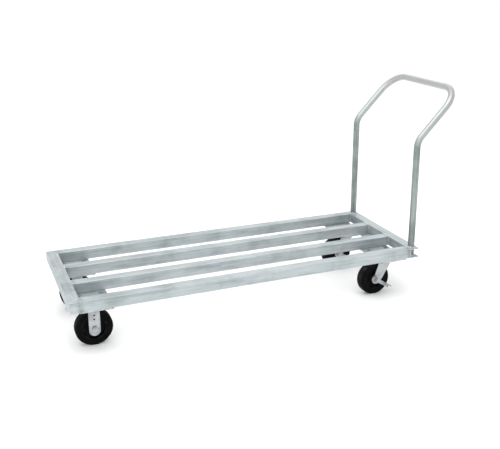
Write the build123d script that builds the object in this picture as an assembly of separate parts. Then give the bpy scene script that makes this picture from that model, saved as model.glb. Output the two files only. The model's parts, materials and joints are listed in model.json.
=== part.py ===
# Flatbed platform truck: an all-aluminium tube deck on two rigid and two swivel casters, with one
# bent tube handle at the swivel end.
#
# Frame, in millimetres: +X runs from the nose towards the handle, +Z is up, and the origin is on the
# floor under the middle of the truck's box. Lengths along the deck are counted from the nose and
# moved to that origin when each piece is written. "left" is the -Y side, which is on the left of
# somebody pushing at the handle.

import os
from math import sqrt

from build123d import *

# Deck
deck_length = 1320.8
deck_width = 508.0
tube_size = 38.1
tube_wall = 3.2
tube_corner = 1.6
channel_wall = 4.8
slat_count = 4

# Handle
handle_tube = 25.4
handle_wall = 3.2
handle_inset = 24.0
handle_bend_height = 618.0
handle_grip_height = 800.0
handle_reach = 176.0
handle_bend_radius = 60.0
handle_corner_radius = 90.0
handle_hole_clearance = 0.4

# Casters
wheel_diameter = 127.0
wheel_width = 31.75
wheel_headroom = 30.2
rigid_caster_setback = 50.8
swivel_caster_setback = 66.4
swivel_lead = 36.5
swivel_angle = {"left": 0.0, "right": 0.0}

# Mounting pads and plates
pad_length = 114.3
pad_thickness = 6.35
pad_lap = 31.7
pad_corner = 6.0
strap_lap = 38.1
strap_gap = 3.0
plate_length = 114.3
plate_width = 101.6
plate_thickness = 3.5
plate_corner = 10.0
bolt_spacing_x = 76.2
bolt_spacing_y = 76.2
bolt_radius = 4.0
bolt_hole_clearance = 0.3
bolt_head_flats = 13.0
bolt_head_height = 5.3
bolt_nut_height = 6.8
bolt_end = 2.5

# Wheel
tread_depth = 19.5
tread_round = 4.0
hub_gap = 2.0
hub_radius = 19.0
rim_depth = 6.0
web_thickness = 14.0
core_round = 1.0
bearing_radius = 13.5
bearing_shell = 1.0
bearing_inset = 1.5
roller_radius = 2.1
roller_inset = 2.0
roller_count = 10
spanner_radius = 8.0

# Axle
axle_radius = 5.0
axle_clearance = 0.1
axle_flats = 17.0
axle_head_height = 6.4
axle_nut_height = 8.0
axle_end = 2.5
tight_clearance = 0.02
washer_radius = 16.0
washer_gap = 0.15

# Forks
fork_thickness = 3.5
wheel_side_gap = 4.625
rigid_leg_width = 38.1
rigid_foot_drop = 25.5
rigid_top_width = 60.0
rigid_shoulder_drop = 8.0
rigid_shoulder_slope = 16.0
leg_hole_radius = 3.0
leg_hole_rises = (35.0, 49.0)
yoke_foot_radius = 17.0
yoke_foot_offset = 7.0
yoke_top_front = 20.0
yoke_top_back = 32.0
yoke_skirt = 9.0

# Swivel head
race_outer_radius = 34.0
race_inner_radius = 24.0
race_pitch_radius = 29.0
ball_radius = 3.175
ball_clearance = 0.075
ball_count = 24
race_gap = 0.4
race_depth = 5.1
yoke_drop = 13.7
kingpin_radius = 6.0
kingpin_clearance = 0.08
kingpin_head_radius = 13.0
kingpin_head_height = 4.2
kingpin_head_gap = 0.2

# Brake
cam_radius = 17.0
cam_thickness = 2.5
lever_hub_radius = 13.0
lever_thickness = 3.0
lever_side_gap = 0.2
lever_width = 14.0
lever_reach = 66.0
lever_tail = 21.0
lever_angle = 31.0
lever_fit = 0.08
pedal_length = 28.0
pedal_width = 24.0
pedal_thickness = 3.0
pedal_corner = 5.0

# Worked out from the values above
handle_x = deck_length - tube_size / 2
handle_y = deck_width / 2 - handle_inset
overall_length = handle_x + handle_reach + handle_tube / 2
caster_height = wheel_diameter + wheel_headroom
deck_under = caster_height + pad_thickness
deck_top = deck_under + tube_size
tube_pitch = (deck_width - tube_size) / (slat_count - 1)
caster_y = tube_pitch
rigid_caster_x = tube_size + rigid_caster_setback
swivel_caster_x = deck_length - tube_size - swivel_caster_setback
axle_height = wheel_diameter / 2
plate_under = caster_height - plate_thickness
fork_gap = wheel_width + 2 * wheel_side_gap
hub_length = fork_gap - 2 * hub_gap
bearing_length = hub_length - 2 * bearing_inset
roller_length = bearing_length - 2 * roller_inset
fork_outer = fork_gap / 2 + fork_thickness
yoke_top = caster_height - yoke_drop
sides = {"left": -1, "right": 1}


def upright(shape):
    """Turns a shape made about Z so that it lies about Y."""
    return Rot(90, 0, 0) * shape


def ring(outer, inner, length):
    return Cylinder(outer, length) - Cylinder(inner, length + 2)


def hexagon(flats, height):
    return extrude(RegularPolygon(flats / sqrt(3), 6), height)


def tube_along_x(x_from, x_to):
    """A square tube along X, centred on the X axis."""
    length = x_to - x_from
    inside = tube_size - 2 * tube_wall
    outer = Box(length, tube_size, tube_size)
    outer = fillet(outer.edges().filter_by(Axis.X), tube_corner)
    return Pos((x_from + x_to) / 2, 0, 0) * (outer - Box(length + 2, inside, inside))


def prism(points, height):
    """An upright prism over a plan outline, centred on Z."""
    return extrude(make_face(Polyline(*points, close=True)), height / 2, both=True)


def side_rail(side):
    """A side tube, mitred at the nose and cut square against the handle-end channel."""
    inner, outer = deck_width / 2 - tube_size, deck_width / 2
    rail = Pos(0, side * (inner + outer) / 2, 0) * tube_along_x(0, deck_length - tube_size)
    corner = [(0, side * outer), (0, side * inner), (tube_size, side * inner)]
    return Pos(0, 0, deck_top - tube_size / 2) * (rail - prism(corner, 2 * tube_size))


def nose_rail():
    """The tube across the nose, mitred at both ends."""
    rail = Rot(0, 0, 90) * tube_along_x(-deck_width / 2, deck_width / 2)
    rail = Pos(tube_size / 2, 0, 0) * rail
    inner, outer = deck_width / 2 - tube_size, deck_width / 2
    for side in sides.values():
        corner = [(0, side * outer), (tube_size, side * inner), (tube_size, side * outer)]
        rail -= prism(corner, 2 * tube_size)
    return Pos(0, 0, deck_top - tube_size / 2) * rail


def slat(index):
    """An inner deck tube, counted from the left side rail."""
    y = -deck_width / 2 + tube_size / 2 + index * tube_pitch
    return Pos(0, y, deck_top - tube_size / 2) * tube_along_x(tube_size, deck_length - tube_size)


def end_channel():
    """The channel across the handle end. It opens outwards, and the handle stands in it."""
    inside = tube_size - 2 * channel_wall
    channel = Box(tube_size, deck_width, tube_size)
    channel = fillet(channel.edges().filter_by(Axis.Y), tube_corner)
    channel -= Pos(channel_wall, 0, 0) * Box(tube_size, deck_width + 2, inside)
    for side in sides.values():
        hole = Cylinder(handle_tube / 2 + handle_hole_clearance, 2 * channel_wall)
        channel -= Pos(0, side * handle_y, tube_size / 2) * hole
    return Pos(handle_x, 0, deck_top - tube_size / 2) * channel


def handle():
    """One tube: two upright legs, a bend away from the deck and a rounded grip bar."""
    foot = deck_under + channel_wall
    corners = [(0, foot), (0, handle_bend_height), (handle_reach, handle_grip_height)]
    rise = [(handle_x + x, -handle_y, z) for x, z in corners]
    fall = [(x, -y, z) for x, y, z in reversed(rise)]
    radii = [handle_bend_radius, handle_corner_radius, handle_corner_radius, handle_bend_radius]
    path = FilletPolyline(*(rise + fall), radius=radii)
    section = Circle(handle_tube / 2) - Circle(handle_tube / 2 - handle_wall)
    return sweep(Plane(origin=rise[0], z_dir=(0, 0, 1)) * section, path=path)


def bolt_places():
    return [
        (i * bolt_spacing_x / 2, j * bolt_spacing_y / 2) for i in (-1, 1) for j in (-1, 1)
    ]


def drill_bolt_holes(shape, z):
    for x, y in bolt_places():
        shape -= Pos(x, y, z) * Cylinder(bolt_radius + bolt_hole_clearance, 4 * pad_thickness)
    return shape


def rounded_plate(length, width, thickness, corner, z_under):
    plate = Box(length, width, thickness)
    plate = fillet(plate.edges().filter_by(Axis.Z), corner)
    return Pos(0, 0, z_under + thickness / 2) * plate


def pad_width():
    return tube_pitch - tube_size + 2 * pad_lap


def mounting_pad():
    """The plate welded under a side rail and the next slat, about the caster's centre."""
    pad = rounded_plate(pad_length, pad_width(), pad_thickness, pad_corner, caster_height)
    return drill_bolt_holes(pad, caster_height)


def end_strap():
    """The flat strap under the channel and the slats' ends, between the two pads."""
    width = 2 * (caster_y - pad_width() / 2 - strap_gap)
    x_from = deck_length - tube_size - strap_lap
    strap = rounded_plate(deck_length - x_from, width, pad_thickness, pad_corner, caster_height)
    return Pos((deck_length + x_from) / 2, 0, 0) * strap


def mounting_bolts():
    """The four bolts of one caster, heads on the pad."""
    bolts = []
    shank_low = plate_under - bolt_nut_height - bolt_end
    for x, y in bolt_places():
        head = Pos(x, y, deck_under) * hexagon(bolt_head_flats, bolt_head_height)
        shank = Cylinder(bolt_radius, deck_under - shank_low)
        bolts.append(head + Pos(x, y, (deck_under + shank_low) / 2) * shank)
    return bolts


def mounting_nuts():
    nuts = []
    for x, y in bolt_places():
        nut = Pos(x, y, plate_under - bolt_nut_height) * hexagon(bolt_head_flats, bolt_nut_height)
        bore = Pos(x, y, plate_under) * Cylinder(bolt_radius + tight_clearance, 40)
        nuts.append(nut - bore)
    return nuts


def caster_plate():
    plate = rounded_plate(plate_length, plate_width, plate_thickness, plate_corner, plate_under)
    return drill_bolt_holes(plate, caster_height)


def wheel_tread():
    radius = wheel_diameter / 2
    tread = fillet(Cylinder(radius, wheel_width).edges(), tread_round)
    return upright(tread - Cylinder(radius - tread_depth, wheel_width + 2))


def wheel_core():
    """The moulded core: a rim under the tread, a thinner web and a longer hub."""
    radius = wheel_diameter / 2 - tread_depth
    core = Cylinder(radius, wheel_width)
    core -= ring(radius - rim_depth, hub_radius, wheel_width)
    core += Cylinder(radius - rim_depth / 2, web_thickness)
    core += Cylinder(hub_radius, hub_length)
    rims = core.edges().filter_by(GeomType.CIRCLE).group_by(Axis.Z)
    core = fillet(rims[0] + rims[-1], core_round)
    return upright(core - Cylinder(bearing_radius, hub_length + 2))


def wheel_bearing():
    """A roller bearing: its outer shell and loose rollers round the spanner bush."""
    shell_bore = bearing_radius - bearing_shell
    pieces = [upright(ring(bearing_radius, shell_bore, bearing_length))]
    pitch = (shell_bore + spanner_radius) / 2
    for i in range(roller_count):
        turn = Rot(0, 0, 360 * i / roller_count)
        roller = turn * Pos(pitch, 0, 0) * Cylinder(roller_radius, roller_length)
        pieces.append(upright(roller))
    return pieces


def spanner_bush():
    return upright(ring(spanner_radius, axle_radius + axle_clearance, fork_gap))


def thrust_washers():
    """One washer each side of the hub, with a running gap to the hub and to the fork."""
    thickness = (fork_gap - hub_length) / 2 - 2 * washer_gap
    y = (fork_gap + hub_length) / 4
    washer = ring(washer_radius, spanner_radius + axle_clearance, thickness)
    return [Pos(0, side * y, 0) * upright(washer) for side in sides.values()]


def axle_bolt(outer):
    """The axle, its head on the +Y leg. outer is where the nut's seat lies on the -Y side."""
    end = outer + axle_nut_height + axle_end
    shank = Pos(0, (fork_outer - end) / 2, 0) * upright(Cylinder(axle_radius, fork_outer + end))
    head = Pos(0, fork_outer + axle_head_height, 0) * upright(hexagon(axle_flats, axle_head_height))
    return shank + head


def axle_nut(outer):
    nut = hexagon(axle_flats, axle_nut_height) - Cylinder(
        axle_radius + tight_clearance, 3 * axle_nut_height
    )
    return Pos(0, -outer, 0) * upright(nut)


def leg_plate(outline):
    """A fork leg of the fork's thickness, centred on Y, from an outline in X and Z."""
    return extrude(Plane.XZ * outline, fork_thickness / 2, both=True)


def both_legs(outline):
    y = (fork_gap + fork_thickness) / 2
    return [Pos(0, side * y, 0) * leg_plate(outline) for side in sides.values()]


def rigid_fork():
    """A U bracket under the rigid caster's plate, with straight round-ended legs."""
    half, top = rigid_leg_width / 2, rigid_top_width / 2
    foot = axle_height - rigid_foot_drop + half
    shoulder = plate_under - rigid_shoulder_drop
    neck = shoulder - rigid_shoulder_slope
    right = [(half, foot), (half, neck), (top, shoulder), (top, plate_under)]
    points = right + [(-x, z) for x, z in reversed(right)]
    outline = make_face(Polyline(*points, close=True)) + Pos(0, foot) * Circle(half)
    outline -= Pos(0, axle_height) * Circle(axle_radius + axle_clearance)
    for rise in leg_hole_rises:
        outline -= Pos(0, axle_height + rise) * Circle(leg_hole_radius)
    bridge = Box(rigid_top_width, fork_gap + 2 * fork_thickness, fork_thickness)
    fork = Pos(0, 0, plate_under - fork_thickness / 2) * bridge
    for leg in both_legs(outline):
        fork += leg
    return fork


def swivel_plate():
    """The fixed plate of a swivel caster, with the upper ball race under it."""
    race = ring(race_outer_radius, race_inner_radius, race_depth - race_gap / 2)
    race = Pos(0, 0, plate_under - (race_depth - race_gap / 2) / 2) * race
    groove = Torus(race_pitch_radius, ball_radius + ball_clearance)
    plate = caster_plate() + race - Pos(0, 0, plate_under - race_depth) * groove
    hole = Cylinder(kingpin_radius + tight_clearance, 4 * plate_thickness)
    return plate - Pos(0, 0, caster_height) * hole


def race_balls():
    balls = []
    for i in range(ball_count):
        turn = Rot(0, 0, 360 * i / ball_count)
        balls.append(turn * Pos(race_pitch_radius, 0, plate_under - race_depth) * Sphere(ball_radius))
    return balls


def kingpin():
    """The riveted pin that holds the yoke up against the ball race."""
    head_top = yoke_top - fork_thickness - kingpin_head_gap
    head = Pos(0, 0, head_top - kingpin_head_height / 2)
    head = head * Cylinder(kingpin_head_radius, kingpin_head_height)
    shank = Cylinder(kingpin_radius, caster_height - head_top + 1)
    return head + Pos(0, 0, (caster_height + head_top - 1) / 2) * shank


def swivel_yoke():
    """The turning fork: the lower ball race, a bridge and two legs that lead back to the axle."""
    axle = (-swivel_lead, axle_height)
    foot = (yoke_foot_offset - swivel_lead, axle_height)
    low = yoke_top - yoke_skirt
    top = [(-yoke_top_front, low), (-yoke_top_front, yoke_top), (yoke_top_back, yoke_top)]
    top = make_face(Polyline(*top, (yoke_top_back, low), close=True))
    outline = make_hull(top.edges() + (Pos(*foot) * Circle(yoke_foot_radius)).edges())
    outline -= Pos(*axle) * Circle(axle_radius + axle_clearance)
    bridge = Box(yoke_top_front + yoke_top_back, fork_gap + 2 * fork_thickness, fork_thickness)
    x = (yoke_top_back - yoke_top_front) / 2
    yoke = Pos(x, 0, yoke_top - fork_thickness / 2) * bridge
    for leg in both_legs(outline):
        yoke += leg
    yoke += Pos(0, 0, yoke_top - fork_thickness / 2) * Cylinder(race_outer_radius, fork_thickness)
    ball_height = plate_under - race_depth
    race_top = ball_height - race_gap / 2
    race = ring(race_outer_radius, race_inner_radius, race_top - yoke_top)
    yoke += Pos(0, 0, (race_top + yoke_top) / 2) * race
    yoke -= Pos(0, 0, ball_height) * Torus(race_pitch_radius, ball_radius + ball_clearance)
    return yoke - Pos(0, 0, yoke_top) * Cylinder(kingpin_radius + kingpin_clearance, 30)


def brake_cam():
    """The fixed ramp disc on the -Y leg, about the axle."""
    cam = ring(cam_radius, axle_radius + axle_clearance, cam_thickness)
    return Pos(0, -fork_outer - cam_thickness / 2, 0) * upright(cam)


def brake_lever():
    """A flat lever about the axle, with a pedal turned outwards at its end."""
    y = -fork_outer - cam_thickness - lever_side_gap - lever_thickness / 2
    middle = (lever_reach - lever_tail) / 2
    arm = Pos(middle, 0, 0) * Box(lever_reach + lever_tail, lever_thickness, lever_width)
    lever = arm + upright(Cylinder(lever_hub_radius, lever_thickness))
    lever -= upright(Cylinder(axle_radius + lever_fit, 3 * lever_thickness))
    pedal = Box(pedal_length, pedal_width, pedal_thickness)
    outer = pedal.edges().filter_by(Axis.Z).group_by(Axis.Y)[0]
    pedal = fillet(outer, pedal_corner)
    x = lever_reach - pedal_length / 2
    pedal_y = lever_thickness / 2 - pedal_width / 2
    lever += Pos(x, pedal_y, (lever_width - pedal_thickness) / 2) * pedal
    return Rot(0, lever_angle, 0) * Pos(0, y, 0) * lever


def deck_nodes():
    nodes = {
        "nose_rail": [nose_rail()],
        "slat_left": [slat(1)],
        "slat_right": [slat(2)],
        "handle_end_channel": [end_channel()],
        "handle_end_strap": [end_strap()],
        "push_handle": [handle()],
    }
    for name, side in sides.items():
        nodes["side_rail_" + name] = [side_rail(side)]
    return nodes


def wheel_nodes(name, outer, at):
    """The wheel, its bearing and its axle, moved to the place of one caster's axle."""
    pieces = {
        "tread": [wheel_tread()],
        "core": [wheel_core()],
        "bearing": wheel_bearing(),
        "spanner_bush": [spanner_bush()],
        "thrust_washers": thrust_washers(),
        "axle_bolt": [axle_bolt(outer)],
        "axle_nut": [axle_nut(outer)],
    }
    return {name + "_" + piece: [at * s for s in solids] for piece, solids in pieces.items()}


def rigid_caster(name, side):
    at = Pos(rigid_caster_x, side * caster_y, 0)
    prefix = "rigid_" + name
    nodes = {
        prefix + "_plate": [at * caster_plate()],
        prefix + "_fork": [at * rigid_fork()],
    }
    nodes.update(wheel_nodes(prefix, fork_outer, at * Pos(0, 0, axle_height)))
    return nodes


def swivel_caster(name, side):
    at = Pos(swivel_caster_x, side * caster_y, 0)
    turned = at * Rot(0, 0, swivel_angle[name])
    axle = turned * Pos(-swivel_lead, 0, axle_height)
    nut_seat = fork_outer + cam_thickness + 2 * lever_side_gap + lever_thickness
    prefix = "swivel_" + name
    nodes = {
        prefix + "_plate": [at * swivel_plate()],
        prefix + "_kingpin": [at * kingpin()],
        prefix + "_balls": [turned * ball for ball in race_balls()],
        prefix + "_yoke": [turned * swivel_yoke()],
        prefix + "_brake_cam": [axle * brake_cam()],
        prefix + "_brake_lever": [axle * brake_lever()],
    }
    nodes.update(wheel_nodes(prefix, nut_seat, axle))
    return nodes


def mounting_nodes():
    """A pad at each corner, and every mounting bolt and nut as one group each."""
    nodes = {"caster_bolts": [], "caster_nuts": []}
    for end, x in (("nose", rigid_caster_x), ("handle", swivel_caster_x)):
        for name, side in sides.items():
            at = Pos(x, side * caster_y, 0)
            nodes["pad_" + end + "_" + name] = [at * mounting_pad()]
            nodes["caster_bolts"] += [at * bolt for bolt in mounting_bolts()]
            nodes["caster_nuts"] += [at * nut for nut in mounting_nuts()]
    return nodes


def build():
    nodes = deck_nodes()
    nodes.update(mounting_nodes())
    for name, side in sides.items():
        nodes.update(rigid_caster(name, side))
        nodes.update(swivel_caster(name, side))
    return nodes


os.makedirs("parts", exist_ok=True)
to_origin = Pos(-overall_length / 2, 0, 0)
for node, solids in build().items():
    placed = [to_origin * s for piece in solids for s in piece.solids()]
    export_step(Compound(children=placed) if len(placed) > 1 else placed[0], f"parts/{node}.step")
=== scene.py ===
import json
import random
from math import atan2, ceil, cos, pi, radians, sin

import bmesh
import bpy
from mathutils import Matrix, Vector


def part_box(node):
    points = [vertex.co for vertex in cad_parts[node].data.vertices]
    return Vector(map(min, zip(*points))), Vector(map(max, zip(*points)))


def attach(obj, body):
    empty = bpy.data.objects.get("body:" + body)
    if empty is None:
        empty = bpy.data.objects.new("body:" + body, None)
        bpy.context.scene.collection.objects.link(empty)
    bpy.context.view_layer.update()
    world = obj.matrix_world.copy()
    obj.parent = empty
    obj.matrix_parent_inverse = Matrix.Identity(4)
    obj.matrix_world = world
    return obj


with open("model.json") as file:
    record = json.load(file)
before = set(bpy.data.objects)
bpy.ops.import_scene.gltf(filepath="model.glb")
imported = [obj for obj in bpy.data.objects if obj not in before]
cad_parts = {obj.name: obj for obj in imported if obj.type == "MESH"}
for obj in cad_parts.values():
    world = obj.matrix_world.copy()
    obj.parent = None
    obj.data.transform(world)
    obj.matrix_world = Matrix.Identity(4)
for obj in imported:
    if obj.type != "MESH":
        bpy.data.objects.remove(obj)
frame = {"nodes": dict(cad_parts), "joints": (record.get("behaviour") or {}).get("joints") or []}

random.seed(7)
mm = 0.001
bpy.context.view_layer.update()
nodes = frame["nodes"]
joints = {j["name"]: j for j in frame["joints"]}
sides = ("left", "right")
print("frame loaded:", len(nodes), "nodes")


# Links a signal to a node's socket, or sets the socket's value
def feed(tree, entry, value):
    if isinstance(value, Signal):
        tree.links.new(value.socket, entry)
    elif isinstance(value, (tuple, list)) and len(value) == 3 and len(entry.default_value) == 4:
        entry.default_value = (*value, 1)
    else:
        entry.default_value = value


class Signal:
    def __init__(self, tree, socket):
        self.tree, self.socket = tree, socket

    def math(self, operation, *terms, clamp=False):
        node = self.tree.nodes.new("ShaderNodeMath")
        node.operation, node.use_clamp = operation, clamp
        for entry, term in zip(node.inputs, terms):
            feed(self.tree, entry, term)
        return Signal(self.tree, node.outputs[0])

    def __add__(self, other):
        return self.math("ADD", self, other)

    def __radd__(self, other):
        return self.math("ADD", other, self)

    def __sub__(self, other):
        return self.math("SUBTRACT", self, other)

    def __rsub__(self, other):
        return self.math("SUBTRACT", other, self)

    def __mul__(self, other):
        return self.math("MULTIPLY", self, other)

    def __rmul__(self, other):
        return self.math("MULTIPLY", other, self)

    def __truediv__(self, other):
        return self.math("DIVIDE", self, other)

    def __rtruediv__(self, other):
        return self.math("DIVIDE", other, self)

    def __pow__(self, other):
        return self.math("POWER", self, other)

    def __abs__(self):
        return self.math("ABSOLUTE", self)

    def least(self, other):
        return self.math("MINIMUM", self, other)

    def most(self, other):
        return self.math("MAXIMUM", self, other)

    def sine(self):
        return self.math("SINE", self)

    def clip(self):
        return self.math("ADD", self, 0.0, clamp=True)

    # 0 below low, 1 above high, smooth between; low above high turns it round
    def ramp(self, low, high):
        node = self.tree.nodes.new("ShaderNodeMapRange")
        node.interpolation_type = "SMOOTHSTEP"
        if low > high:
            low, high, ends = high, low, (1.0, 0.0)
        else:
            ends = (0.0, 1.0)
        for entry, term in zip(node.inputs, (self, low, high, *ends)):
            feed(self.tree, entry, term)
        return Signal(self.tree, node.outputs[0])


class Look:
    def __init__(self, name):
        self.material = bpy.data.materials.new(name)
        self.material.use_nodes = True
        self.tree = self.material.node_tree
        self.tree.nodes.clear()
        self.place = self.node("ShaderNodeTexCoord", output="Object")
        self.facing = self.split(self.node("ShaderNodeTexCoord", output="Normal"))
        self.x, self.y, self.z = self.split(self.place)

    # any node: its type, its settings, then its sockets
    def node(self, kind, settings=None, values=None, output=0):
        node = self.tree.nodes.new(kind)
        for key, value in (settings or {}).items():
            setattr(node, key, value)
        for key, value in (values or {}).items():
            feed(self.tree, node.inputs[key], value)
        return Signal(self.tree, node.outputs[output])

    def split(self, vector):
        parts = self.node("ShaderNodeSeparateXYZ", values={0: vector}).socket.node.outputs
        return [Signal(self.tree, part) for part in parts]

    def vector(self, x, y, z):
        return self.node("ShaderNodeCombineXYZ", values={0: x, 1: y, 2: z})

    def scaled(self, place, stretch):
        return self.node("ShaderNodeVectorMath", {"operation": "MULTIPLY"}, {0: place, 1: stretch})

    def turned(self, place, angles):
        settings = {"rotation_type": "EULER_XYZ"}
        return self.node("ShaderNodeVectorRotate", settings, {"Vector": place, "Rotation": angles})

    def noise(self, scale, detail=3.0, roughness=0.55, place=None, stretch=None):
        place = place or self.place
        if stretch:
            place = self.scaled(place, stretch)
        values = {"Vector": place, "Scale": scale, "Detail": detail, "Roughness": roughness}
        return self.node("ShaderNodeTexNoise", values=values)

    def cells(self, scale, feature="F1"):
        values = {"Vector": self.place, "Scale": scale}
        return self.node("ShaderNodeTexVoronoi", {"feature": feature}, values, "Distance")

    # inputs 6 and 7 and output 2 are the Mix node's colours
    def mix(self, first, second, amount):
        settings = {"data_type": "RGBA", "clamp_factor": True}
        values = {0: amount, 6: first, 7: second}
        return self.node("ShaderNodeMix", settings, values, 2)

    # thin lines in one direction, broken into patches
    def scratches(self, angles, fine, density, patch=14.0):
        place = self.turned(self.place, angles)
        lines = self.noise(1.0, 2.0, 0.5, place, (9.0, fine, fine))
        patches = self.noise(patch, 1.0)
        return lines.ramp(0.70 - density, 0.76 - density) * patches.ramp(0.50, 0.64)

    def finish(self, values, height=None, strength=0.3, depth=0.0004):
        if height is not None:
            bump = {"Height": height, "Strength": strength, "Distance": depth}
            values = {**values, "Normal": self.node("ShaderNodeBump", values=bump)}
        shader = self.node("ShaderNodeBsdfPrincipled", values=values)
        surface = self.tree.nodes.new("ShaderNodeOutputMaterial").inputs["Surface"]
        feed(self.tree, surface, shader)
        return self.material


# Mill-finish aluminium
aluminium = {
    "bright": (0.585, 0.63, 0.645),
    "plain": (0.42, 0.462, 0.475),
    "dull": (0.275, 0.315, 0.320),
    "smut": (0.17, 0.175, 0.18),
    "dust": (0.55, 0.53, 0.50),
    "metallic": 0.72,
    "roughness": 0.42,
}


# Extruded metal, streaked the way that the grain's smallest number points
def metalLook(name, grain, finish, edge=None, weldSmut=None):
    look = Look(name)
    lines = look.noise(1.0, 4.0, 0.65, stretch=grain)
    broad = look.noise(1.0, 3.0, 0.6, stretch=tuple(g * 0.40 for g in grain))
    blotch = look.noise(9.0, 4.0, 0.6)
    cloud = look.noise(38.0, 3.0, 0.6)
    # handling stains, about a hand long and a finger or two wide
    stain = look.noise(1.0, 5.0, 0.65, stretch=tuple(6.0 + g * 0.06 for g in grain))
    upward = look.facing[2].ramp(0.5, 0.9)
    marks = look.scratches((0, 0, 0.25), 900.0, 0.03)
    marks = marks.most(look.scratches((0, 0, -0.5), 1100.0, 0.02))
    marks = marks.most(look.scratches((0.4, 0.2, 1.35), 700.0, 0.03) * upward)
    dents = look.cells(26.0).ramp(0.10, 0.02) * look.noise(7.0, 1.0).ramp(0.5, 0.6)
    tone = look.mix(finish["dull"], finish["plain"], blotch.ramp(0.26, 0.56))
    streak = (lines * 0.45 + broad * 0.55).ramp(0.42, 0.64)
    tone = look.mix(tone, finish["bright"], streak * 0.38)
    tone = look.mix(tone, finish["dull"], broad.ramp(0.46, 0.34) * 0.25)
    tone = look.mix(tone, finish["dull"], stain.ramp(0.50, 0.68) * 0.55)
    tone = look.mix(tone, finish["bright"], stain.ramp(0.46, 0.34) * 0.30)
    tone = look.mix(tone, finish["bright"], marks * 0.6)
    rubbed = cloud.ramp(0.35, 0.6)
    rough = finish["roughness"] + lines * 0.16 + cloud * 0.10 - marks * 0.12
    if edge:
        polished = edge(look) * rubbed
        tone = look.mix(tone, finish["bright"], polished * 0.9)
        rough = rough - polished * 0.16
    if weldSmut:
        smut = weldSmut(look) * look.noise(60.0, 4.0, 0.7).ramp(0.30, 0.62)
        tone = look.mix(tone, finish["smut"], smut * 0.45)
        rough = rough + smut * 0.2
    dust = upward * look.noise(5.0, 4.0, 0.6).ramp(0.45, 0.75) * 0.18
    tone = look.mix(tone, finish["dust"], dust)
    rough = rough + dust * 0.5
    values = {"Base Color": tone, "Metallic": finish["metallic"], "Roughness": rough.clip()}
    height = lines * 0.35 + broad * 0.25 - marks * 0.5 - dents * 1.2
    return look.finish(values, height, 0.22, 0.00035)


# Corner wear on a tube: both distances from its middle are near the half size
def tubeEdge(node, axis):
    low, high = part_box(node)
    others = [a for a in range(3) if a != axis]

    def edge(look):
        parts = (look.x, look.y, look.z)
        outs = [abs(parts[a] - (low[a] + high[a]) / 2) / ((high[a] - low[a]) / 2) for a in others]
        return outs[0].least(outs[1]).ramp(0.93, 0.99)

    return edge


# Soot beside the welds at the ends of a lengthwise piece
def endSmut(places):
    reach = 22 * mm

    def smut(look):
        total = None
        for x in places:
            near = abs(look.x - x).ramp(reach, 0.0)
            total = near if total is None else total.most(near)
        return total

    return smut


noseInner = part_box("slat_left")[0].x
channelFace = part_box("slat_left")[1].x
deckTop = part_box("slat_left")[1].z
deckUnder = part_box("slat_left")[0].z
padEnds = [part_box("pad_" + end + "_left")[k].x for end in ("nose", "handle") for k in (0, 1)]
lengthwise = (5.0, 700.0, 700.0)
crosswise = (700.0, 5.0, 700.0)
channelFinish = {**aluminium, "plain": (0.40, 0.44, 0.45)}
padGrain = (40.0, 500.0, 500.0)
padFinish = {**aluminium, "plain": (0.38, 0.42, 0.43), "roughness": 0.44}


# One material over the whole of a CAD piece
def wear(name, material):
    slots = nodes[name].data.materials
    slots.clear()
    slots.append(material)
    for face in nodes[name].data.polygons:
        face.material_index = 0


for name in ("side_rail_left", "side_rail_right", "slat_left", "slat_right"):
    smut = endSmut([noseInner, channelFace])
    wear(name, metalLook(name + "_metal", lengthwise, aluminium, tubeEdge(name, 0), smut))
noseMetal = metalLook("nose_rail_metal", crosswise, aluminium, tubeEdge("nose_rail", 1))
wear("nose_rail", noseMetal)
channelEdge = tubeEdge("handle_end_channel", 1)
wear("handle_end_channel", metalLook("channel_metal", crosswise, channelFinish, channelEdge))
padMetal = metalLook("pad_metal", padGrain, padFinish, weldSmut=endSmut(padEnds))
for end in ("nose", "handle"):
    for side in sides:
        wear("pad_" + end + "_" + side, padMetal)
wear("handle_end_strap", padMetal)
print("deck finished")


# Handle: drawn tube, its grain follows the upright, the slope and the grip
handleFinishAndShade = {
    # dull and plain are darker than the deck's metal, as painted shade on the uprights; the lighter colour
    # over the slope and grip is a painted highlight
    "dull": (0.165, 0.20, 0.19),
    "plain": (0.275, 0.315, 0.305),
    "bent": (0.45, 0.465, 0.465),
    "handled": (0.45, 0.44, 0.42),
    "metallic": 0.82,
    "roughness": 0.32,
    "tubeRadius": 12.7 * mm,
    "bendZ": 618 * mm,
    "bendBlend": 30 * mm,
}
handleLow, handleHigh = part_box("push_handle")
tubeRadius, bendZ, bendBlend = (handleFinishAndShade[key] for key in ("tubeRadius", "bendZ", "bendBlend"))
legX = handleLow.x + tubeRadius
slope = atan2(handleHigh.x - tubeRadius - legX, handleHigh.z - tubeRadius - bendZ)


def handlePlace(look):
    # turns the sloping part upright, so one stretch serves both
    lifted = look.vector(look.x - legX, look.y, look.z - bendZ)
    upright = look.turned(lifted, (0.0, -slope, 0.0))
    return look.mix(lifted, upright, look.z.ramp(bendZ - bendBlend, bendZ + bendBlend))


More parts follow.
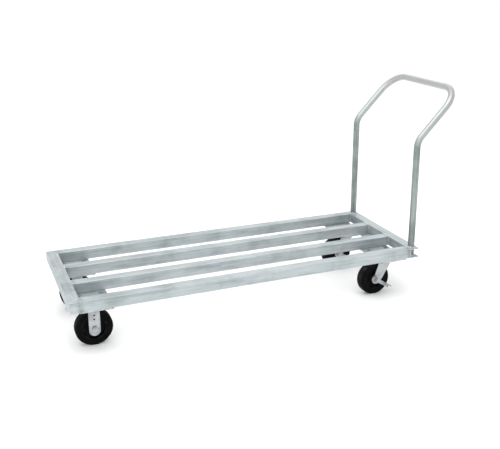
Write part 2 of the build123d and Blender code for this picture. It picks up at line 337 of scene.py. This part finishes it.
def handleLook():
    look = Look("handle_metal")
    place = handlePlace(look)
    legLines = look.noise(1.0, 4.0, 0.65, place, (600.0, 600.0, 5.0))
    gripLines = look.noise(1.0, 4.0, 0.65, place, (600.0, 5.0, 600.0))
    gripAmount = look.z.ramp(handleHigh.z - 75 * mm, handleHigh.z - 45 * mm)
    lines = legLines * (1.0 - gripAmount) + gripLines * gripAmount
    blotch = look.noise(12.0, 4.0, 0.6)
    # the blotches run between the darker dull and plain colours, which are painted shade on the uprights
    tone = look.mix(handleFinishAndShade["dull"], handleFinishAndShade["plain"], blotch.ramp(0.30, 0.60))
    # painted highlight: above the bend, the sloping part and the grip are painted lighter than the
    # uprights, as light falling on them
    bent = look.z.ramp(bendZ - bendBlend, bendZ + bendBlend)
    tone = look.mix(tone, handleFinishAndShade["bent"], bent * 0.7)
    tone = look.mix(tone, aluminium["bright"], lines.ramp(0.46, 0.66) * 0.35)
    marks = look.scratches((0.2, 1.2, 0.3), 800.0, 0.02)
    marks = marks.most(look.scratches((0.9, 0.3, 0), 900.0, 0.02))
    # hands keep the grip smooth and a little darker
    handled = gripAmount * look.noise(20.0, 3.0).ramp(0.3, 0.6)
    tone = look.mix(tone, handleFinishAndShade["handled"], handled * 0.4)
    tone = look.mix(tone, aluminium["bright"], marks * 0.6)
    foot = look.z.ramp(deckTop + 22 * mm, deckTop) * look.noise(60.0, 4.0, 0.7).ramp(0.3, 0.6)
    tone = look.mix(tone, aluminium["smut"], foot * 0.45)
    rough = handleFinishAndShade["roughness"] + lines * 0.16 + blotch * 0.08
    rough = rough - marks * 0.1 - handled * 0.08 + foot * 0.2
    values = {"Base Color": tone, "Metallic": handleFinishAndShade["metallic"], "Roughness": rough.clip()}
    return look.finish(values, lines * 0.4 - marks * 0.5, 0.2, 0.0003)


wear("push_handle", handleLook())
print("handle finished")


# Zinc plated steel
zinc = {
    "bright": (0.62, 0.64, 0.65),
    "plain": (0.44, 0.465, 0.48),
    "dull": (0.29, 0.305, 0.32),
    "straw": (0.46, 0.44, 0.36),
    "rust": (0.20, 0.10, 0.05),
    "dirt": (0.13, 0.12, 0.11),
    "threadPitch": 1.5 * mm,
    "grimeTop": 75 * mm,
    "grimeFull": 10 * mm,
}


def zincLook(name, pressed=0.0, thread=None, grime=0.5):
    look = Look(name)
    spangle = look.cells(240.0, feature="SMOOTH_F1")
    cloud = look.noise(30.0, 4.0, 0.6)
    drift = look.noise(11.0, 2.0)
    marks = look.scratches((0.3, 0.1, 0.9), 1000.0, 0.03, 30.0)
    marks = marks.most(look.scratches((0.1, 1.1, 0.2), 900.0, 0.03, 30.0))
    tone = look.mix(zinc["dull"], zinc["plain"], cloud.ramp(0.3, 0.6))
    tone = look.mix(tone, zinc["straw"], drift.ramp(0.52, 0.72) * 0.35)
    tone = look.mix(tone, zinc["bright"], marks * 0.6)
    low = look.z.ramp(zinc["grimeTop"], zinc["grimeFull"]) * grime
    dirt = look.noise(45.0, 4.0, 0.7).ramp(0.45, 0.72) * (low + 0.25)
    tone = look.mix(tone, zinc["dirt"], dirt * 0.6)
    rust = look.noise(90.0, 4.0, 0.7).ramp(0.67, 0.74) * drift.ramp(0.45, 0.6) * 0.5
    tone = look.mix(tone, zinc["rust"], rust)
    rough = 0.26 + cloud * 0.16 + spangle * 0.08 + dirt * 0.3 + rust * 0.3 - marks * 0.06
    metallic = (0.95 - dirt * 0.5 - rust * 0.8).clip()
    height = spangle * 0.2 + cloud * 0.4 - marks * 0.4
    if thread:
        height = height + (thread(look) * (2 * pi / zinc["threadPitch"])).sine() * 1.5
    if pressed:
        height = height + look.noise(160.0, 2.0) * pressed
    values = {"Base Color": tone, "Metallic": metallic, "Roughness": rough.clip()}
    return look.finish(values, height, 0.3, 0.0003)


forkMetal = zincLook("caster_pressed_steel", pressed=0.3)
nutMetal = zincLook("caster_nut_steel")


# the thread starts inside the pads and runs down to the bolts' ends
def boltThread(look):
    return look.z * look.z.ramp(deckUnder, deckUnder - 4 * mm)


boltMetal = zincLook("caster_bolt_steel", thread=boltThread)
for name, node in nodes.items():
    if name.endswith(("_plate", "_fork", "_yoke", "_brake_cam", "_kingpin")):
        wear(name, forkMetal)
wear("caster_bolts", boltMetal)
wear("caster_nuts", nutMetal)


# how far from the wheel's middle an axle's thread starts, inside its nut, and its run-in
axleThread = {"rigid": 28 * mm, "swivel": 34 * mm, "runIn": 1 * mm}


def axleLook(name, spin, start):
    cx, cy, _ = spin["pos_m"]
    ax, ay, _ = spin["axis"]

    def thread(look):
        towardNut = (look.x - cx) * -ax + (look.y - cy) * -ay
        alongAxle = (look.x - cx) * ax + (look.y - cy) * ay
        return towardNut.ramp(start, start + axleThread["runIn"]) * alongAxle

    return zincLook(name, thread=thread)


# The levers sit low and pick up the most grime
leverMetal = zincLook("brake_lever_steel", pressed=0.2, grime=1.0)
for side in sides:
    wear("swivel_" + side + "_brake_lever", leverMetal)
    for kind in ("rigid", "swivel"):
        prefix = kind + "_" + side
        spin = joints[prefix + "_roll"]
        wear(prefix + "_axle_nut", nutMetal)
        wear(prefix + "_axle_bolt", axleLook(prefix + "_axle_steel", spin, axleThread[kind]))
print("casters finished")


# Bearings, bushes, washers and balls: ground steel with a film of oil
bearingFinish = {"steel": (0.52, 0.52, 0.53), "oil": (0.16, 0.13, 0.09), "metallic": 0.95}


def bearingLook():
    look = Look("bearing_steel")
    turned = look.noise(400.0, 2.0)
    oil = look.noise(60.0, 3.0).ramp(0.4, 0.65)
    tone = look.mix(bearingFinish["steel"], bearingFinish["oil"], oil * 0.7)
    rough = 0.22 + turned * 0.1 + oil * 0.1
    values = {"Base Color": tone, "Metallic": bearingFinish["metallic"], "Roughness": rough}
    return look.finish(values, turned, 0.1, 0.0001)


bearingMetal = bearingLook()
for name in nodes:
    if name.endswith(("_bearing", "_spanner_bush", "_thrust_washers", "_balls")):
        wear(name, bearingMetal)


# Wheels: solid black, worn grey where they roll
wheelFinish = {
    "black": (0.0012, 0.0012, 0.0014),
    "faded": (0.0040, 0.0040, 0.0044),
    "rolled": (0.045, 0.043, 0.040),
    "dust": (0.040, 0.038, 0.035),
    "grease": (0.016, 0.012, 0.008),
    "specular": 0.05,
    "radius": 63.5 * mm,
    "ringPitch": 1.1 * mm,
}


def wheelLook(name, spin, tread):
    look = Look(name)
    centre, axis = spin["pos_m"], spin["axis"]
    across = (look.x - centre[0]) * axis[0] + (look.y - centre[1]) * axis[1]
    ahead = (look.x - centre[0]) * axis[1] - (look.y - centre[1]) * axis[0]
    radius = (ahead * ahead + (look.z - centre[2]) ** 2.0) ** 0.5
    rings = (radius * (2 * pi / wheelFinish["ringPitch"])).sine()
    mould = look.noise(420.0, 4.0, 0.6)
    cloud = look.noise(26.0, 4.0, 0.6)
    dust = look.noise(70.0, 5.0, 0.7).ramp(0.42, 0.72)
    tone = look.mix(wheelFinish["black"], wheelFinish["faded"], cloud.ramp(0.3, 0.7))
    rough = 0.50 + mould * 0.14 + cloud * 0.10
    height = mould * 0.5 + rings * 0.12
    if tread:
        outer = wheelFinish["radius"]
        rolled = radius.ramp(outer - 3.0 * mm, outer - 0.7 * mm)
        shoulder = radius.ramp(outer - 9.5 * mm, outer - 1.5 * mm)
        tone = look.mix(tone, wheelFinish["rolled"], rolled * (dust * 0.5 + 0.12))
        tone = look.mix(tone, wheelFinish["rolled"], shoulder * dust * 0.2)
        seam = abs(across).ramp(0.5 * mm, 0.15 * mm) * rolled
        chips = look.cells(110.0).ramp(0.14, 0.05) * look.noise(24.0, 1.0).ramp(0.52, 0.6)
        rough = rough + rolled * 0.25
        height = height + seam * 0.8 - chips * shoulder * 2.5
        height = height + look.noise(150.0, 4.0, 0.7) * rolled
    else:
        tone = look.mix(tone, wheelFinish["dust"], dust * radius.ramp(18 * mm, 30 * mm) * 0.3)
        grease = radius.ramp(24 * mm, 17 * mm) * cloud.ramp(0.35, 0.6)
        tone = look.mix(tone, wheelFinish["grease"], grease * 0.8)
        rough = rough - grease * 0.2
    values = {"Base Color": tone, "Roughness": rough.clip(), "Specular IOR Level": wheelFinish["specular"]}
    return look.finish(values, height, 0.35, 0.0003)


for side in sides:
    for kind in ("rigid", "swivel"):
        prefix = kind + "_" + side
        spin = joints[prefix + "_roll"]
        wear(prefix + "_tread", wheelLook(prefix + "_tread_black", spin, True))
        wear(prefix + "_core", wheelLook(prefix + "_core_black", spin, False))
print("wheels finished")


# Softened edges on the CAD pieces
bevels = {
    "deck": 0.35 * mm,
    "small": 0.25 * mm,
    "segments": 2,
    "angle": radians(40),
    "join": 0.002 * mm,
}
deckPieces = ("side", "nose", "slat", "handle_end", "pad")
roundPieces = ("_bearing", "_balls", "_spanner_bush", "_thrust_washers", "push_handle")
for name, node in nodes.items():
    weld = node.modifiers.new("join", "WELD")
    weld.merge_threshold = bevels["join"]
    if not name.endswith(roundPieces):
        bevel = node.modifiers.new("edges", "BEVEL")
        bevel.width = bevels["deck" if name.startswith(deckPieces) else "small"]
        bevel.segments = bevels["segments"]
        bevel.limit_method, bevel.angle_limit = "ANGLE", bevels["angle"]
        bevel.harden_normals = True


# Welds: a rippled bead along a line of points
weldBead = {
    "ripple": 2.1 * mm,
    "step": 0.55 * mm,
    "sides": 10,
    "standOff": 0.7 * mm,
    "sunk": 0.5 * mm,
    "endInset": 2.5 * mm,
    "corner": 2.6 * mm,
    "flat": 2.3 * mm,
    "mitre": 1.7 * mm,
    "mitreEdge": 1.8 * mm,
    "pad": 3.0 * mm,
    "strap": 2.4 * mm,
    "legTop": 2.8 * mm,
    "legFoot": 2.4 * mm,
    "body": "truck",
}
# Where the beads under the deck start and end
stitches = {
    "padSide": ((0.08, 0.40), (0.60, 0.92)),  # shares of the pad's length
    "padEnd": (8 * mm, 28 * mm),  # from the pad's corner
    "strap": (8 * mm, 46 * mm),  # from the strap's end
}
levelSeam = (0, 0, 1)


def stationsAlong(points):
    stations = []
    for start, end in zip(points, points[1:]):
        count = max(2, ceil((end - start).length / weldBead["step"]))
        stations += [start.lerp(end, k / count) for k in range(count)]
    return stations + [points[-1]]


# A bead is wide and low over a level seam, and round in a corner. Each ripple swells, then falls away,
# and the ends of an open bead taper.
def addBead(mesh, points, radius, flatten=None):
    points = [Vector(p) for p in points]
    stations = stationsAlong(points)
    last = len(stations) - 1
    around = weldBead["sides"]
    closed = (points[0] - points[-1]).length < 0.1 * mm
    travelled, rings = 0.0, []
    wobble = random.random() * 10
    for k, here in enumerate(stations):
        ahead = stations[min(k + 1, last)] - stations[max(k - 1, 0)]
        if closed and k in (0, last):
            ahead = stations[1] - stations[-2]
        ahead.normalize()
        if k:
            travelled += (here - stations[k - 1]).length
        flat = Vector(flatten) if flatten else ahead.orthogonal().normalized()
        flat = (flat - ahead * flat.dot(ahead)).normalized()
        other = ahead.cross(flat)
        phase = (travelled / weldBead["ripple"]) % 1.0
        swell = 0.90 + 0.16 * (1 - phase) ** 0.6 + 0.05 * sin(travelled * 310 + wobble)
        if not closed:
            taper = min(k, last - k) * weldBead["step"] / (radius * 1.3)
            swell *= min(1.0, 0.25 + taper)
        ring = []
        for turn in range(around):
            a = 2 * pi * turn / around
            out = flat * cos(a) * (0.45 if flatten else 1.0) + other * sin(a)
            lag = -ahead * radius * 0.45 * sin(a) ** 2
            ring.append(mesh.verts.new(here + out * radius * swell + lag))
        rings.append(ring)
    for first, second in zip(rings, rings[1:]):
        for turn in range(around):
            after = (turn + 1) % around
            mesh.faces.new((first[turn], first[after], second[after], second[turn]))
    if not closed:
        mesh.faces.new(rings[0][::-1])
        mesh.faces.new(rings[-1])


# Weld metal: brighter than the tubes, with soot in patches
weldFinish = {
    "plain": (0.46, 0.48, 0.49),
    "bright": (0.68, 0.70, 0.71),
    "soot": (0.17, 0.168, 0.165),
    "metallic": 0.85,
}


def weldLook():
    look = Look("weld_metal")
    cloud = look.noise(240.0, 3.0)
    soot = look.noise(50.0, 4.0, 0.7).ramp(0.48, 0.7)
    tone = look.mix(weldFinish["plain"], weldFinish["bright"], cloud.ramp(0.35, 0.65))
    tone = look.mix(tone, weldFinish["soot"], soot * 0.5)
    rough = 0.30 + cloud * 0.14 + soot * 0.2
    values = {"Base Color": tone, "Metallic": weldFinish["metallic"], "Roughness": rough}
    return look.finish(values, cloud, 0.25, 0.0002)


weldMetal = weldLook()


def weldPiece(name, beads):
    mesh = bmesh.new()
    for points, radius, flatten in beads:
        addBead(mesh, points, radius, flatten)
    data = bpy.data.meshes.new(name)
    mesh.to_mesh(data)
    mesh.free()
    data.shade_smooth()
    data.materials.append(weldMetal)
    piece = bpy.data.objects.new(name, data)
    bpy.context.scene.collection.objects.link(piece)
    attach(piece, weldBead["body"])


# Where a lengthwise tube's end meets a cross piece: up the sides that show, then over and under.
# faceX is the cross piece's face and outX the way that it looks.
def endBeads(node, faceX, outX, showsLow=True, showsHigh=True):
    low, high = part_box(node)
    inset = weldBead["endInset"]
    x = faceX + outX * weldBead["standOff"]
    beads = []
    for y, s, shown in ((low.y, -1, showsLow), (high.y, 1, showsHigh)):
        if shown:
            side = y + s * weldBead["standOff"]
            line = ((x, side, low.z + inset), (x, side, high.z - inset))
            beads.append((line, weldBead["corner"], None))
    for z in (high.z - weldBead["sunk"], low.z + weldBead["sunk"]):
        line = ((faceX, low.y + inset, z), (faceX, high.y - inset, z))
        beads.append((line, weldBead["flat"], levelSeam))
    return beads


# A mitred nose corner: across its top and bottom, then up its outer and its inner edge
def mitreBeads(node, s):
    low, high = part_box(node)
    outer, inner = (low.y, high.y) if s < 0 else (high.y, low.y)
    beads = []
    for z in (high.z - 0.2 * mm, low.z + 0.2 * mm):
        line = ((low.x + 1.5 * mm, outer - s * 1.5 * mm, z), (noseInner, inner, z))
        beads.append((line, weldBead["mitre"], levelSeam))
    out = weldBead["standOff"]
    outerEdge = (low.x + 0.6 * mm, outer - s * 0.6 * mm, weldBead["mitreEdge"])
    innerEdge = (noseInner + out, inner - s * out, weldBead["corner"])
    for x, y, radius in (outerEdge, innerEdge):
        line = ((x, y, low.z + 2 * mm), (x, y, high.z - 2 * mm))
        beads.append((line, radius, None))
    return beads


beadUnder = deckUnder - weldBead["standOff"]


def padBeads(end, side):
    low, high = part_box("pad_" + end + "_" + side)
    out = weldBead["standOff"]
    beads = []
    for y, s in ((low.y, -1), (high.y, 1)):
        for stitch in stitches["padSide"]:
            line = [(low.x + (high.x - low.x) * k, y + s * out, beadUnder) for k in stitch]
            beads.append((line, weldBead["pad"], None))
        for x, t in ((low.x, -1), (high.x, 1)):
            line = [(x + t * out, y - s * k, beadUnder) for k in stitches["padEnd"]]
            beads.append((line, weldBead["pad"], None))
    return beads


# The strap is stitched to the channel's underside, and along its nose-side edge to both slats
def strapBeads():
    low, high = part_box("handle_end_strap")
    out = weldBead["standOff"]
    beads = []
    for y, s in ((low.y, -1), (high.y, 1)):
        line = [(high.x + out, y - s * k, beadUnder) for k in stitches["strap"]]
        beads.append((line, weldBead["pad"], None))
    for node, edge in (("slat_left", low.y), ("slat_right", high.y)):
        slatLow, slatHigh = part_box(node)
        inner = slatHigh.y if edge < 0 else slatLow.y
        line = [(low.x - out, y, beadUnder) for y in (inner, edge)]
        beads.append((line, weldBead["strap"], None))
    return beads


# Rings round the handle's legs, on top of the deck and at their feet
def legBeads():
    legY = handleHigh.y - tubeRadius
    ringRadius = tubeRadius + 1.0 * mm
    turns = [2 * pi * k / 48 for k in range(49)]
    levels = ((deckTop + weldBead["standOff"], weldBead["legTop"]),
              (handleLow.z + 0.8 * mm, weldBead["legFoot"]))
    beads = []
    for s in (-1, 1):
        for z, radius in levels:
            ring = [(legX + ringRadius * cos(a), s * legY + ringRadius * sin(a), z) for a in turns]
            beads.append((ring, radius, None))
    return beads


noseWelds, channelWelds, padWelds = [], [], []
for node in ("slat_left", "slat_right"):
    noseWelds += endBeads(node, noseInner, 1)
    channelWelds += endBeads(node, channelFace, -1)
for node, s in (("side_rail_left", -1), ("side_rail_right", 1)):
    channelWelds += endBeads(node, channelFace, -1, s > 0, s < 0)
    noseWelds += mitreBeads(node, s)
for end in ("nose", "handle"):
    for side in sides:
        padWelds += padBeads(end, side)
padWelds += strapBeads()
weldPiece("nose_welds", noseWelds)
weldPiece("channel_welds", channelWelds)
weldPiece("pad_welds", padWelds)
weldPiece("handle_welds", legBeads())
print("welds laid")


# Floor and light
floorFinish = {"low": (0.95, 0.95, 0.95), "high": (0.96, 0.96, 0.96), "roughness": 0.75, "size": 80.0}
studio = {"color": (1.0, 1.0, 1.0, 1.0), "strength": 1.05}


def floorLook():
    look = Look("floor_paint")
    tone = look.mix(floorFinish["low"], floorFinish["high"], look.noise(1.5, 3.0))
    return look.finish({"Base Color": tone, "Roughness": floorFinish["roughness"]})


bpy.ops.mesh.primitive_plane_add(size=floorFinish["size"])
floor = bpy.context.object
floor.name = "floor"
floor.data.materials.append(floorLook())

world = bpy.data.worlds.new("studio")
world.use_nodes = True
backdrop = world.node_tree.nodes["Background"]
backdrop.inputs["Color"].default_value = studio["color"]
backdrop.inputs["Strength"].default_value = studio["strength"]
bpy.context.scene.world = world
bpy.context.scene.view_settings.view_transform = "Standard"

lamps = {
    "overhead": {"at": (-0.6, -0.4, 3.6), "size": 3.4, "power": 70},
    "front": {"at": (-2.6, -3.2, 2.4), "size": 2.4, "power": 22},
    "behind": {"at": (2.4, 3.0, 2.8), "size": 2.4, "power": 14},
}
lampTarget = (0, 0, 0.3)
for name, lamp in lamps.items():
    light = bpy.data.lights.new(name, "AREA")
    light.energy, light.size = lamp["power"], lamp["size"]
    holder = bpy.data.objects.new(name, light)
    holder.location = lamp["at"]
    towards = Vector(lampTarget) - holder.location
    holder.rotation_euler = towards.to_track_quat("-Z", "Y").to_euler()
    bpy.context.scene.collection.objects.link(holder)

view = {
    "at": (-1.0490, -2.5749, 1.2394),
    "yaw": 0.4334,
    "pitch": 0.2965,
    "roll": 0.0132,
    "lens": 55.3,
    "shift": (-0.080, -0.049),
}
camera = bpy.data.cameras.new("camera")
camera.lens = view["lens"]
camera.shift_x, camera.shift_y = view["shift"]
yaw, pitch, roll = view["yaw"], view["pitch"], view["roll"]
forward = Vector((sin(yaw) * cos(pitch), cos(yaw) * cos(pitch), -sin(pitch)))
level = Vector((cos(yaw), -sin(yaw), 0.0))
rise = level.cross(forward)
right = level * cos(roll) + rise * sin(roll)
up = rise * cos(roll) - level * sin(roll)
eye = bpy.data.objects.new("camera", camera)
facing = Matrix((right, up, -forward)).transposed().to_4x4()
eye.matrix_world = Matrix.Translation(view["at"]) @ facing
bpy.context.scene.collection.objects.link(eye)
bpy.context.scene.camera = eye
print("stage set")
